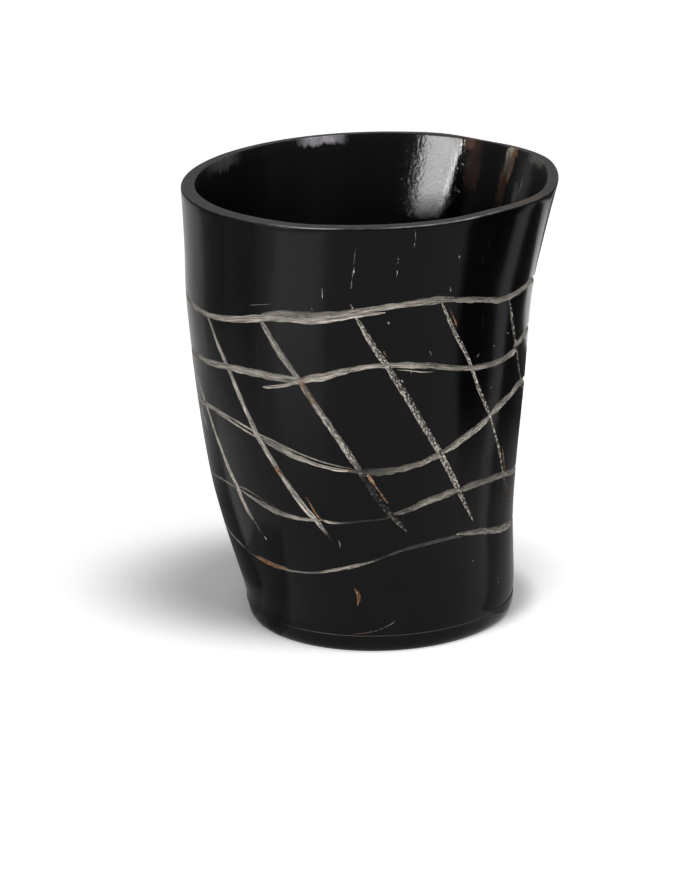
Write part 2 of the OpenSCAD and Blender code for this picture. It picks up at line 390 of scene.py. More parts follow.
def figure(tree, place, scale, detail, rough=0.5):
    """Noise stretched along the ways that the scale names, in cells for each metre."""
    stretched = node(tree, "Mapping", {"Vector": place, "Scale": scale}).outputs[0]
    settings = {"Vector": stretched, "Scale": 1, "Detail": detail, "Roughness": rough}
    return node(tree, "TexNoise", settings).outputs[0]


def tinted(tree, mask, colour, tint):
    """A colour that turns into a tint where the mask is one."""
    return node(tree, "Mix", {0: mask, 6: colour, 7: tint}, data_type="RGBA").outputs[2]


def lay_bumps(tree, shader, *layers):
    """Lays bumps on a shader, each over the last: height, strength, and depth in millimetres."""
    under = {}
    for height, strength, depth in layers:
        bump = node(tree, "Bump", {"Height": height, "Strength": strength, "Distance": depth * mm, **under})
        under = {"Normal": bump.outputs[0]}
    tree.links.new(bump.outputs[0], shader.inputs["Normal"])


# Growth: faint lengthwise streaks and clouds that every piece of the horn shows
growth, given, result = effect(
    "horn growth",
    [("Dark", "NodeSocketColor", (0.002, 0.002, 0.002, 1)),
     ("Light", "NodeSocketColor", (0.01, 0.008, 0.007, 1))],
    [("Color", "NodeSocketColor")])
place = node(growth, "TexCoord").outputs["Object"]
streaks = spread(growth, figure(growth, place, (420, 420, 28), 5), 0.4, 0.75)
clouds = spread(growth, figure(growth, place, (90, 90, 45), 2), 0.35, 0.7)
both = maths(growth, "MULTIPLY", streaks, clouds)
growth.links.new(tinted(growth, both, given["Dark"], given["Light"]), result["Color"])

# Scratches: thin marks of the sanding, a few of them deeper, across or along the piece
scratches, given, result = effect(
    "sanding scratches",
    [("Stretch", "NodeSocketVector", (9000, 9000, 200)), ("Few", "NodeSocketFloat", 0.62)],
    [("Height", "NodeSocketFloat"), ("Mask", "NodeSocketFloat")])
place = node(scratches, "TexCoord").outputs["Object"]
stretched = node(scratches, "VectorMath", {0: place, 1: given["Stretch"]}, operation="MULTIPLY").outputs[0]
fine = node(scratches, "TexNoise", {"Vector": stretched, "Scale": 1, "Detail": 2.0}).outputs[0]
deeper = node(scratches, "TexNoise", {"Vector": stretched, "Scale": 0.45, "Detail": 1.0}).outputs[0]
deep = spread(scratches, deeper, given["Few"], 0.8)
scratches.links.new(maths(scratches, "MULTIPLY_ADD", fine, 0.3, deep), result["Height"])
scratches.links.new(deep, result["Mask"])

# Streaks of paler horn, which run down the wall from the lip with frayed edges: angle and half
# width in degrees, lean in degrees for each metre down, and the middle's height and the reach up
# and down from it in metres
streak, given, result = effect(
    "grown streak",
    [("Angle", "NodeSocketFloat", 0), ("Width", "NodeSocketFloat", 3), ("Lean", "NodeSocketFloat", 0),
     ("Middle", "NodeSocketFloat", 0.0635), ("Reach", "NodeSocketFloat", 0.005)],
    [("Mask", "NodeSocketFloat")])
place = node(streak, "TexCoord").outputs["Object"]
part = node(streak, "SeparateXYZ", {0: place}).outputs
turned = maths(streak, "DEGREES", maths(streak, "ARCTAN2", part[1], part[0]))
below = maths(streak, "SUBTRACT", lip_z, part[2])
centre = maths(streak, "MULTIPLY_ADD", below, given["Lean"], given["Angle"])
frayed = spread(streak, figure(streak, place, (1500, 1500, 380), 4, 0.7), 0.2, 0.8, -1.5, 1.5)
away = maths(streak, "SUBTRACT", turned, maths(streak, "ADD", centre, frayed))
away = maths(streak, "DIVIDE", maths(streak, "ABSOLUTE", away), given["Width"])
across = spread(streak, away, 0.5, 1.3, 1.0, 0.0)
ragged = spread(streak, figure(streak, place, (1100, 1100, 200), 3, 0.6), 0.2, 0.8, -0.5, 0.5)
off = maths(streak, "ABSOLUTE", maths(streak, "SUBTRACT", part[2], given["Middle"]))
off = maths(streak, "ADD", maths(streak, "DIVIDE", off, given["Reach"]), ragged)
along = spread(streak, off, 0.5, 1.0, 1.0, 0.0)
streak.links.new(maths(streak, "MULTIPLY", across, along), result["Mask"])

# Polished black horn: the outside, and the base plate
horn_black, tree, shader, place = new_finish("polished black horn", {"IOR": 1.21})
colour = use(tree, growth, Dark=(0.0011, 0.001, 0.0012, 1), Light=(0.0036, 0.0029, 0.0032, 1))["Color"]
tree.links.new(colour, shader.inputs["Base Color"])
rubbed = use(tree, scratches, Stretch=(6000, 6000, 170), Few=0.66)
sheen = spread(tree, figure(tree, place, (160, 160, 110), 3), 0.3, 0.7, 0.14, 0.19)
roughness = maths(tree, "MULTIPLY_ADD", rubbed["Mask"], 0.12, sheen)
tree.links.new(roughness, shader.inputs["Roughness"])
waves = figure(tree, place, (130, 130, 60), 2)
lay_bumps(tree, shader, (waves, 0.5, 0.2), (rubbed["Height"], 0.25, 0.02))

# Sawn lip: cut and sanded flat, grey and matte, browner where the horn is
horn_sawn, tree, shader, place = new_finish("sanded lip", {"IOR": 1.3, "Roughness": 0.5})
colour = use(tree, growth, Dark=(0.056, 0.055, 0.056, 1), Light=(0.09, 0.083, 0.077, 1))["Color"]
marks = use(tree, scratches, Stretch=(900, 7000, 7000), Few=0.55)
shade = tinted(tree, marks["Mask"], colour, (0.14, 0.136, 0.134, 1))
# Tint, angle and half width of each brown place
for tint, angle, width in (
        ((0.12, 0.09, 0.07, 1), -32, 8),
        ((0.11, 0.06, 0.04, 1), 54, 7),
        ((0.16, 0.13, 0.1, 1), 35, 2.5)):
    mask = maths(tree, "MULTIPLY", use(tree, streak, Angle=angle, Width=width, Reach=1)["Mask"], 0.8)
    shade = tinted(tree, mask, shade, tint)
tree.links.new(shade, shader.inputs["Base Color"])
lay_bumps(tree, shader, (marks["Height"], 0.5, 0.03))

# Bored inside: polished on the turning machine, so it mirrors in upright bands, with brown, cream
# and grey streaks of paler horn, most of them at the right, and a pale crescent under the back of
# the lip that is partly worn edge and partly painted highlight
horn_bore, tree, shader, place = new_finish(
    "bored horn", {"IOR": 1.35, "Anisotropic": 1, "Anisotropic Rotation": 0.25})
polished = use(tree, streak, Angle=52.3, Width=5, Lean=600, Reach=1)["Mask"]
tree.links.new(spread(tree, polished, 0, 1, 0.25, 0.07), shader.inputs["Roughness"])
shade = use(tree, growth, Dark=(0.0015, 0.0014, 0.0015, 1), Light=(0.005, 0.0042, 0.004, 1))["Color"]
mottled = spread(tree, figure(tree, place, (1400, 1400, 500), 4, 0.7), 0.3, 0.6, 0.5, 1.0)
# Tint, angle, half width, lean, middle and reach of each streak
for tint, angle, width, lean, middle, reach in (
        ((0.035, 0.018, 0.013, 1), 50.5, 3, 100, 0.061, 0.005),
        ((0.13, 0.07, 0.05, 1), 53.5, 2.2, 0, 0.0634, 0.0018),
        ((0.05, 0.022, 0.014, 1), 36.5, 1.8, 0, 0.0585, 0.004),
        ((0.2, 0.1, 0.05, 1), 33.2, 1.1, 150, 0.0625, 0.004),
        ((0.13, 0.115, 0.09, 1), 35.4, 1.7, 100, 0.0624, 0.0042),
        ((0.42, 0.38, 0.32, 1), 35.2, 1.3, 200, 0.0637, 0.0022),
        ((0.08, 0.08, 0.088, 1), 28.6, 1.8, 0, 0.0576, 0.0018),
        ((0.22, 0.22, 0.24, 1), 26.4, 0.4, 0, 0.0586, 0.0012),
        ((0.13, 0.13, 0.115, 1), 19, 6, 0, 0.0634, 0.0013),
        # Pale crescent under the back of the lip: partly worn edge, partly painted highlight
        ((0.42, 0.4, 0.44, 1), 105, 7, 0, 0.0632, 0.0011),
        ((0.08, 0.08, 0.08, 1), 148, 9, 0, 0.0632, 0.0016)):
    mask = use(tree, streak, Angle=angle, Width=width, Lean=lean, Middle=middle, Reach=reach)["Mask"]
    shade = tinted(tree, maths(tree, "MULTIPLY", mask, mottled), shade, tint)
tree.links.new(shade, shader.inputs["Base Color"])
pits = figure(tree, place, (2300, 2300, 2300), 2)
pits = maths(tree, "MULTIPLY", pits, spread(tree, polished, 0, 0.8, 1, 0.12))
dents = spread(tree, figure(tree, place, (3300, 3300, 3300), 1), 0.68, 0.76, 1.0, 0.0)
lay_bumps(tree, shader, (pits, 1.0, 0.04), (dents, 0.2, 0.03))

# Rubbed edge: the rounded outside edge of the lip, dull from sanding, with a pale line in places
# that is partly wear and partly painted highlight
wear_and_highlight_from = 0.17 * mm
wear_and_highlight_to = 0.08 * mm
horn_rubbed, tree, shader, place = new_finish("rubbed edge", {"IOR": 1.1})
colour = use(tree, growth, Dark=(0.004, 0.004, 0.004, 1), Light=(0.012, 0.01, 0.009, 1))["Color"]
marks = use(tree, scratches, Stretch=(2500, 2500, 9000), Few=0.55)
up = node(tree, "SeparateXYZ", {0: place}).outputs[2]
# Painted highlight and wear: a pale band near the top of the edge, at the front and the front left
wear_and_highlight = spread(tree, up, lip_z - wear_and_highlight_from, lip_z - wear_and_highlight_to)
front_left = use(tree, streak, Angle=-110, Width=11, Reach=1)["Mask"]
front = use(tree, streak, Angle=-66, Width=17, Reach=1)["Mask"]
places = spread(tree, maths(tree, "ADD", front_left, front), 0, 1, 0.25, 1)
uneven = spread(tree, figure(tree, place, (700, 700, 200), 3, 0.6), 0.35, 0.6, 0.4, 1)
wear_and_highlight = maths(tree, "MULTIPLY", maths(tree, "MULTIPLY", wear_and_highlight, places), uneven)
tree.links.new(tinted(tree, wear_and_highlight, colour, (0.46, 0.45, 0.44, 1)), shader.inputs["Base Color"])
tree.links.new(spread(tree, marks["Height"], 0, 0.6, 0.3, 0.45), shader.inputs["Roughness"])
lay_bumps(tree, shader, (marks["Height"], 0.3, 0.02))

facing_up = 0.95
sawn_depth = 0.02 * mm
finishes = [horn_black, horn_sawn, horn_bore, horn_rubbed]
for finish in finishes:
    wall.data.materials.append(finish)
for p in wall.data.polygons:
    outward = Vector((p.center.x - section(p.center.z)[0], p.center.y, 0))
    if p.normal.z > facing_up and p.center.z > lip_z - sawn_depth:
        p.material_index = finishes.index(horn_sawn)
    elif p.normal.dot(outward) < 0:
        p.material_index = finishes.index(horn_bore)
    elif p.center.z > lip_z - lip_ease_h:
        p.material_index = finishes.index(horn_rubbed)

# Carved net
# Five level lines and a slanting line every thirty degrees, cut by hand with a small round gouge
# after the outside was polished. The cuts are raw, pale and fibrous, and brown where the horn
# was. Each stroke: angle, height and width in millimetres, and how pale the cut is.
strokes = [
    # Top line
    [(-215, 48.3, 0.3, 0.7), (-195, 48.5, 1.0, 0.7), (-175, 48.5, 0.9, 0.7), (-160, 48.1, 0.8, 0.7),
     (-150, 48.1, 0.8, 0.75), (-140, 48.45, 0.9, 0.8), (-130, 49.2, 1.0, 0.85), (-123, 49.85, 1.0, 0.8),
     (-115, 50.15, 1.0, 0.75), (-106, 50.15, 1.1, 0.8), (-100, 50.4, 0.9, 0.9), (-95, 50.75, 0.7, 0.9),
     (-90, 51.0, 0.6, 0.85), (-83, 51.2, 0.15, 0.8)],
    [(-124, 50.35, 0.2, 0.6), (-118, 50.8, 0.8, 0.6), (-110, 51.0, 0.8, 0.5), (-100, 51.1, 0.9, 0.6),
     (-90, 51.6, 0.9, 0.7), (-80, 52.1, 0.85, 0.75), (-75, 52.2, 0.9, 0.7), (-70, 52.25, 1.1, 0.6),
     (-64, 52.15, 1.0, 0.55), (-59, 51.8, 0.7, 0.5), (-56, 51.6, 0.15, 0.5)],
    [(-60.5, 51.85, 0.3, 0.7), (-57, 51.55, 0.8, 0.7), (-50, 50.95, 0.85, 0.6), (-45, 50.45, 0.9, 0.6),
     (-40, 50.0, 0.9, 0.6), (-35, 49.85, 0.9, 0.65), (-27, 50.0, 1.0, 0.7), (-18, 50.25, 1.1, 0.7),
     (-5, 49.2, 1.0, 0.7), (8, 48.3, 0.9, 0.7), (30, 48.1, 1.0, 0.7), (50, 48.6, 0.8, 0.7),
     (60, 49.3, 0.2, 0.6)],
    [(45, 48.4, 0.2, 0.6), (60, 49.2, 1.0, 0.7), (75, 50.0, 1.1, 0.75), (92, 50.5, 1.0, 0.7),
     (115, 50.3, 0.9, 0.7), (140, 49.3, 1.0, 0.7), (158, 48.7, 0.5, 0.7), (164, 48.6, 0.15, 0.7)],
    [(-129, 51.3, 0.05, 0.5), (-125, 51.6, 0.14, 0.5), (-121, 51.95, 0.05, 0.4)],
    # Second line
    [(-205, 40.3, 0.3, 0.6), (-190, 40.2, 0.9, 0.7), (-175, 40.3, 0.9, 0.7), (-165, 40.6, 0.9, 0.7),
     (-155, 40.8, 1.0, 0.7), (-147, 41.1, 1.0, 0.75), (-140, 41.35, 1.0, 0.75), (-130, 41.5, 1.1, 0.75),
     (-120, 41.4, 1.1, 0.7), (-113, 41.4, 0.8, 0.7), (-106, 41.6, 0.15, 0.7)],
    [(-125, 39.6, 0.12, 0.9), (-122, 39.8, 0.45, 0.9), (-117, 40.3, 0.6, 0.8), (-111, 41.15, 0.8, 0.75),
     (-107, 41.65, 1.1, 0.8), (-103, 41.95, 1.15, 0.85), (-98, 42.6, 1.0, 0.8), (-93, 43.1, 0.85, 0.8),
     (-88, 43.45, 0.8, 0.75), (-82, 43.5, 0.75, 0.7), (-77, 43.35, 0.8, 0.75), (-72, 43.1, 0.9, 0.75),
     (-66, 42.7, 0.85, 0.6), (-60, 42.0, 0.85, 0.6), (-55, 41.5, 0.75, 0.65), (-50, 41.05, 0.8, 0.7),
     (-45, 40.8, 0.85, 0.6), (-38, 40.65, 0.85, 0.6), (-32, 40.8, 1.0, 0.65), (-27, 41.1, 1.1, 0.7),
     (-24.8, 41.2, 0.3, 0.8)],
    [(-78, 42.75, 0.1, 0.7), (-74, 42.45, 0.16, 0.9), (-69, 41.95, 0.16, 0.8), (-65, 41.8, 0.06, 0.6)],
    [(-27.5, 41.9, 0.3, 0.8), (-23, 42.0, 1.1, 0.75), (-17, 42.3, 1.1, 0.7), (-9, 42.4, 1.0, 0.7),
     (5, 41.3, 0.8, 0.7), (18, 40.4, 0.8, 0.7), (30, 39.8, 1.0, 0.7), (48, 40.0, 0.7, 0.7),
     (57, 40.4, 0.15, 0.6)],
    [(40, 39.7, 0.2, 0.6), (55, 40.2, 0.9, 0.7), (72, 40.9, 0.9, 0.75), (90, 41.3, 0.8, 0.7),
     (118, 41.0, 1.0, 0.7), (145, 40.1, 0.9, 0.7), (160, 39.9, 0.5, 0.7), (170, 39.9, 0.15, 0.7)],
    # Third line, whose strokes part into two streaks
    [(-220, 33.0, 0.3, 0.6), (-205, 34.1, 0.8, 0.7), (-190, 33.6, 0.8, 0.7), (-175, 33.1, 0.7, 0.7),
     (-167, 33.4, 0.7, 0.7), (-160, 33.85, 0.8, 0.7), (-152, 34.0, 0.65, 0.7), (-145, 33.85, 0.45, 0.75),
     (-138, 33.45, 0.35, 0.75), (-132, 32.85, 0.35, 0.8), (-128, 32.4, 0.3, 0.8), (-121, 31.6, 0.35, 0.6),
     (-114, 30.65, 0.25, 0.75), (-107, 29.75, 0.2, 0.7), (-100, 28.95, 0.2, 0.6), (-94, 28.5, 0.1, 0.5)],
    [(-151, 33.6, 0.15, 0.6), (-144, 33.35, 0.35, 0.8), (-138, 32.85, 0.35, 0.75), (-133, 32.25, 0.35, 0.8),
     (-128.5, 31.7, 0.3, 0.8)],
    [(-127.5, 31.9, 0.2, 0.5), (-125, 31.55, 0.8, 0.5), (-121, 30.95, 1.0, 0.55), (-117, 30.3, 0.9, 0.7),
     (-112, 29.6, 0.7, 0.85), (-106, 28.9, 0.5, 0.85), (-100, 28.35, 0.45, 0.95), (-96, 28.2, 0.35, 0.9),
     (-93, 28.25, 0.15, 0.8)],
    [(-95.5, 28.2, 0.3, 0.5), (-91, 28.0, 0.8, 0.25), (-87, 27.9, 1.1, 0.3), (-82, 27.9, 1.1, 0.35),
     (-77, 28.05, 1.0, 0.5), (-72, 28.35, 0.9, 0.55), (-67, 28.8, 0.9, 0.6), (-62.5, 29.35, 0.9, 0.65),
     (-60, 29.6, 0.2, 0.6)],
    [(-61.5, 29.6, 0.4, 0.6), (-58, 30.0, 1.0, 0.65), (-53, 30.8, 1.1, 0.7), (-47, 31.7, 1.1, 0.65),
     (-42, 32.5, 1.0, 0.7), (-39.5, 32.95, 0.3, 0.6)],
    [(-39.5, 33.1, 0.3, 0.7), (-37, 33.6, 1.1, 0.7), (-32, 34.3, 1.15, 0.7), (-26, 34.85, 1.15, 0.65),
     (-19, 35.35, 1.1, 0.7), (-10, 34.8, 0.9, 0.7), (2, 33.5, 0.8, 0.7), (16, 32.1, 0.8, 0.7),
     (30, 30.9, 0.9, 0.7), (44, 30.1, 0.6, 0.7), (52, 29.9, 0.15, 0.6)],
    [(34, 30.4, 0.2, 0.6), (48, 29.8, 0.8, 0.7), (62, 29.5, 0.9, 0.75), (90, 29.8, 0.9, 0.7),
     (118, 31.0, 0.9, 0.7), (138, 31.8, 0.7, 0.7), (153, 32.3, 0.15, 0.7)],
    # Fourth line
    [(-226, 22.6, 0.2, 0.6), (-210, 23.2, 0.9, 0.7), (-195, 22.8, 0.8, 0.7), (-180, 22.2, 0.5, 0.7),
     (-170, 22.3, 0.4, 0.6), (-163, 22.85, 0.4, 0.6), (-156, 23.15, 0.35, 0.5), (-150, 23.1, 0.35, 0.6),
     (-145, 23.0, 0.3, 0.5), (-140, 22.75, 0.35, 0.6), (-136, 22.3, 0.5, 0.55), (-131, 21.7, 0.85, 0.5),
     (-125, 21.05, 0.9, 0.6), (-120, 20.7, 0.75, 0.65), (-115, 20.5, 0.55, 0.7), (-110, 20.45, 0.45, 0.8),
     (-107, 20.5, 0.2, 0.7)],
    [(-147, 23.3, 0.1, 0.3), (-142, 23.4, 0.25, 0.5), (-137, 23.2, 0.22, 0.5), (-131, 22.5, 0.18, 0.3),
     (-125, 21.8, 0.08, 0.2)],
    [(-106.5, 20.6, 0.15, 0.9), (-104, 20.3, 0.4, 0.95), (-101, 20.25, 0.35, 0.6), (-97, 20.3, 0.3, 0.25),
     (-92, 20.5, 0.3, 0.18), (-86, 20.65, 0.3, 0.18), (-81.5, 20.9, 0.35, 0.15), (-79, 21.1, 0.12, 0.1)],
    [(-80.5, 21.3, 0.2, 0.4), (-77, 21.5, 0.7, 0.45), (-73, 21.9, 0.9, 0.4), (-68, 22.5, 1.0, 0.6),
     (-63, 22.9, 1.05, 0.65), (-58, 23.2, 1.05, 0.6), (-54, 23.4, 0.7, 0.5), (-52.5, 23.45, 0.15, 0.5)],
    [(-53.5, 23.3, 0.3, 0.6), (-50, 23.35, 1.0, 0.55), (-45, 23.4, 1.1, 0.5), (-39, 23.3, 1.0, 0.5),
     (-33, 23.15, 0.95, 0.55), (-27, 22.85, 0.9, 0.6), (-20, 22.3, 0.95, 0.65), (-8, 21.5, 0.9, 0.65),
     (8, 20.9, 0.8, 0.7), (28, 20.3, 0.8, 0.7), (45, 20.7, 0.5, 0.7), (55, 21.1, 0.15, 0.6)],
    [(38, 20.3, 0.2, 0.6), (52, 20.8, 0.8, 0.7), (70, 21.7, 0.9, 0.75), (92, 22.6, 0.8, 0.7),
     (118, 23.1, 0.9, 0.7), (138, 22.9, 0.6, 0.7), (150, 22.7, 0.15, 0.7)],
    # Lowest line
    [(-192, 14.8, 0.2, 0.6), (-178, 15.0, 0.7, 0.6), (-168, 14.6, 0.5, 0.6), (-159, 14.0, 0.35, 0.6),
     (-154, 13.7, 0.35, 0.6), (-149, 13.1, 0.16, 0.3), (-144, 12.65, 0.18, 0.3), (-141, 12.6, 0.6, 0.5),
     (-136, 12.35, 0.85, 0.5), (-131, 12.1, 0.8, 0.5), (-127, 12.1, 0.5, 0.5), (-125.5, 12.1, 0.12, 0.4)],
    [(-128, 11.85, 0.15, 0.5), (-124, 11.9, 0.35, 0.55), (-118, 12.0, 0.3, 0.5), (-112, 12.25, 0.4, 0.6),
     (-106, 12.8, 0.45, 0.65), (-100, 13.3, 0.5, 0.7), (-95, 13.75, 0.5, 0.65), (-91, 14.1, 0.4, 0.5),
     (-86, 14.7, 0.3, 0.22), (-81, 15.3, 0.35, 0.25), (-76, 15.8, 0.45, 0.22), (-70, 16.1, 0.55, 0.25),
     (-63, 16.3, 0.6, 0.28), (-56, 16.35, 0.6, 0.3), (-52, 16.2, 0.4, 0.35), (-50, 16.15, 0.1, 0.4)],
    [(-54, 16.6, 0.3, 0.9), (-51, 16.45, 0.5, 0.6), (-46, 16.15, 0.7, 0.6), (-40, 15.75, 0.85, 0.6),
     (-34, 15.2, 0.9, 0.65), (-27, 14.6, 1.0, 0.65), (-20, 14.2, 1.1, 0.7), (-12, 13.8, 0.9, 0.7),
     (5, 13.3, 0.8, 0.7), (22, 13.0, 0.8, 0.7), (40, 12.8, 0.6, 0.7), (52, 12.75, 0.15, 0.6)],
    [(36, 12.6, 0.2, 0.6), (52, 12.7, 0.7, 0.7), (72, 13.2, 0.7, 0.7), (92, 13.9, 0.7, 0.7),
     (120, 14.9, 0.8, 0.7), (148, 15.1, 0.8, 0.7), (165, 15.0, 0.5, 0.7), (176, 15.1, 0.15, 0.6)],
    # Slanting lines, from the left side of the picture round by the right
    [(-179.5, 40.6, 0.2, 0.6), (-176, 39.6, 0.8, 0.7), (-168, 37.6, 0.9, 0.7), (-161, 34.6, 0.8, 0.7),
     (-157, 32.4, 0.7, 0.75), (-152, 28.8, 0.75, 0.75), (-147, 25.2, 0.75, 0.8), (-143.8, 23.1, 0.85, 0.8),
     (-141.8, 21.2, 0.85, 0.75), (-139, 19.4, 0.6, 0.6), (-136.5, 18.0, 0.35, 0.25),
     (-134.5, 16.6, 0.12, 0.1)],
    [(-150.2, 47.7, 0.2, 0.6), (-148.5, 46.9, 0.6, 0.6), (-145.5, 44.6, 0.7, 0.65),
     (-142.5, 42.6, 0.75, 0.7), (-139.5, 40.6, 0.8, 0.75), (-136.5, 38.2, 0.8, 0.75),
     (-133.2, 35.5, 0.8, 0.75), (-130, 32.8, 0.9, 0.8), (-127, 30.8, 0.85, 0.8), (-123.5, 28.6, 0.8, 0.75),
     (-120, 26.5, 0.75, 0.6), (-116, 24.2, 0.8, 0.9), (-112, 21.9, 0.85, 0.9), (-109, 20.6, 0.7, 0.85),
     (-106.5, 19.2, 0.55, 0.8), (-104.5, 18.0, 0.3, 0.12), (-102, 16.6, 0.1, 0.1)],
    [(-125, 49.5, 0.25, 0.6), (-123.3, 48.8, 0.7, 0.65), (-120, 46.6, 0.95, 0.65),
     (-116.5, 44.5, 1.0, 0.65), (-113, 42.5, 0.9, 0.6), (-110, 40.7, 0.85, 0.6), (-106.5, 38.3, 0.9, 0.6),
     (-102.5, 35.7, 0.9, 0.7), (-98.5, 33.1, 0.9, 0.75), (-94.5, 30.3, 0.95, 0.75), (-91.8, 28.5, 0.8, 0.6),
     (-90, 27.1, 0.8, 0.12), (-87, 25.1, 0.9, 0.14), (-83.5, 22.8, 0.85, 0.12), (-80.5, 21.1, 0.8, 0.25),
     (-77.5, 19.7, 0.55, 0.3), (-74.8, 18.4, 0.12, 0.3)],
    [(-92.2, 50.6, 0.25, 0.95), (-90.2, 49.3, 0.6, 0.8), (-87.5, 47.4, 0.75, 0.75),
     (-84.5, 45.3, 0.85, 0.8), (-81.5, 43.4, 0.8, 0.75), (-78.5, 41.2, 0.85, 0.7), (-75.5, 39.1, 0.9, 0.7),
     (-72.5, 36.9, 0.9, 0.75), (-69, 34.3, 0.85, 0.75), (-65.5, 31.9, 0.85, 0.8), (-62, 29.6, 0.85, 0.85),
     (-59, 27.4, 0.85, 0.85), (-55.5, 24.9, 0.85, 0.85), (-53, 23.1, 0.75, 0.8), (-50.5, 21.3, 0.6, 0.8),
     (-48, 19.5, 0.4, 0.75), (-45.6, 17.9, 0.1, 0.8)],
    [(-64.2, 51.7, 0.195, 0.85), (-62.5, 50.3, 0.39, 0.85), (-60, 48.5, 0.468, 0.85),
     (-57, 46.3, 0.585, 0.8), (-54, 44.4, 0.624, 0.8), (-51, 42.2, 0.507, 0.85), (-48.7, 40.1, 0.468, 0.9),
     (-46, 37.7, 0.585, 0.85), (-43, 35.5, 0.585, 0.8), (-40, 33.3, 0.39, 0.85), (-38, 31.8, 0.351, 0.9),
     (-35, 29.4, 0.39, 0.85), (-32, 27.2, 0.429, 0.85), (-29.5, 25.1, 0.468, 0.8), (-27, 23.0, 0.468, 0.8),
     (-24.5, 21.0, 0.429, 0.5), (-22, 19.4, 0.312, 0.4), (-19.5, 17.9, 0.078, 0.4)],
    [(-33.8, 49.5, 0.16, 0.8), (-32, 47.8, 0.48, 0.8), (-29.8, 45.6, 0.6, 0.8), (-27.5, 43.4, 0.64, 0.8),
     (-25, 41.3, 0.56, 0.8), (-22, 38.8, 0.44, 0.8), (-18, 36.4, 0.48, 0.8), (-10, 33.0, 0.72, 0.8),
     (-2, 29.6, 0.72, 0.8), (7, 24.4, 0.56, 0.7), (12, 21.0, 0.08, 0.5)],
    [(0, 48.8, 0.2, 0.6), (5, 46.8, 0.9, 0.7), (18, 38.0, 1.0, 0.7), (32, 29.0, 0.9, 0.7),
     (42, 21.4, 0.8, 0.7), (46, 17.8, 0.1, 0.5)],
    [(30, 48.3, 0.2, 0.6), (35, 45.9, 0.8, 0.7), (49, 36.6, 0.9, 0.7), (62, 28.2, 0.9, 0.7),
     (73, 20.4, 0.7, 0.7), (77, 17.2, 0.1, 0.5)],
    [(62, 49.3, 0.2, 0.6), (67, 47.2, 1.0, 0.7), (80, 37.6, 1.0, 0.7), (94, 28.6, 1.0, 0.7),
     (105, 20.6, 0.8, 0.7), (109, 17.5, 0.1, 0.5)],
    [(95, 50.4, 0.2, 0.6), (100, 48.2, 0.9, 0.7), (113, 38.6, 1.0, 0.7), (127, 29.6, 0.9, 0.7),
     (136, 21.5, 0.7, 0.7), (140, 17.8, 0.1, 0.5)],
    [(123, 50.2, 0.2, 0.6), (128, 47.9, 0.8, 0.7), (142, 38.0, 0.9, 0.7), (155, 29.1, 0.9, 0.7),
     (165, 21.9, 0.7, 0.7), (169, 18.4, 0.1, 0.5)],
    [(151, 49.3, 0.2, 0.6), (156, 47.4, 0.9, 0.7), (168, 42.2, 0.9, 0.7), (184, 35.8, 0.9, 0.7),
     (194, 31.8, 0.7, 0.7), (199, 29.6, 0.1, 0.5)],
    # Small slips of the tool, nicks and scratches
    [(-94.6, 60.8, 0.05, 0.4), (-94.5, 59.6, 0.12, 0.5), (-94.7, 58.2, 0.06, 0.3)],
    [(-94.3, 58.0, 0.05, 0.6), (-94.4, 57.2, 0.2, 0.8), (-94.7, 56.2, 0.1, 0.6), (-94.6, 55.0, 0.16, 0.5),
     (-94.9, 54.8, 0.05, 0.4)],
    [(-103.8, 54.9, 0.05, 0.6), (-103.6, 53.9, 0.14, 0.7), (-103.4, 53.2, 0.05, 0.5)],
    [(-77.1, 63.0, 0.06, 0.6), (-76.6, 61.8, 0.1, 0.7), (-76.7, 60.4, 0.05, 0.5)],
    [(-81.2, 59.2, 0.05, 0.5), (-81.0, 58.5, 0.12, 0.5), (-81.1, 58.0, 0.05, 0.4)],
    [(-81.0, 57.4, 0.06, 0.8), (-80.9, 56.9, 0.16, 0.9), (-80.8, 56.3, 0.05, 0.6)],
    [(-60.9, 58.3, 0.06, 0.8), (-60.5, 57.8, 0.2, 0.8), (-60.3, 57.3, 0.06, 0.6)],
    [(-62.3, 53.9, 0.06, 0.9), (-62.0, 53.5, 0.2, 0.9), (-61.8, 53.1, 0.06, 0.8)],
    [(-106.8, 52.1, 0.05, 0.6), (-106.6, 51.8, 0.16, 0.7), (-106.2, 51.6, 0.05, 0.6)],
    [(-94.3, 52.6, 0.08, 0.7), (-93.9, 52.2, 0.25, 0.7), (-93.3, 51.7, 0.08, 0.6)],
    [(-82.0, 49.8, 0.1, 0.9), (-81.6, 49.65, 0.26, 0.9), (-81.2, 49.5, 0.1, 0.9)],
    [(-67.0, 44.9, 0.05, 0.6), (-66.6, 44.5, 0.14, 0.6), (-66.4, 44.1, 0.05, 0.5)],
    [(-47.6, 42.4, 0.1, 0.6), (-47.1, 42.6, 0.2, 0.6), (-46.6, 42.9, 0.05, 0.6)],
    [(-39.9, 43.4, 0.1, 0.6), (-39.4, 43.25, 0.18, 0.6), (-38.9, 43.2, 0.08, 0.5)],
    [(-33.0, 44.5, 0.08, 0.5), (-32.2, 44.35, 0.18, 0.5), (-31.4, 44.2, 0.08, 0.4)],
    [(-40.2, 37.4, 0.1, 0.5), (-39.7, 37.2, 0.18, 0.6), (-39.2, 37.1, 0.08, 0.5)],
    [(-73.4, 42.6, 0.05, 0.7), (-73.3, 42.2, 0.12, 0.8), (-73.2, 41.8, 0.05, 0.6)],
    [(-76.8, 41.2, 0.1, 0.7), (-76.3, 41.0, 0.22, 0.8), (-75.9, 40.8, 0.08, 0.7)],
    [(-82.6, 45.6, 0.1, 0.5), (-82.1, 45.1, 0.25, 0.6), (-81.7, 44.7, 0.1, 0.5)],
    [(-133.8, 16.5, 0.1, 0.9), (-133.2, 16.25, 0.28, 0.95), (-132.7, 16.1, 0.1, 0.9)],
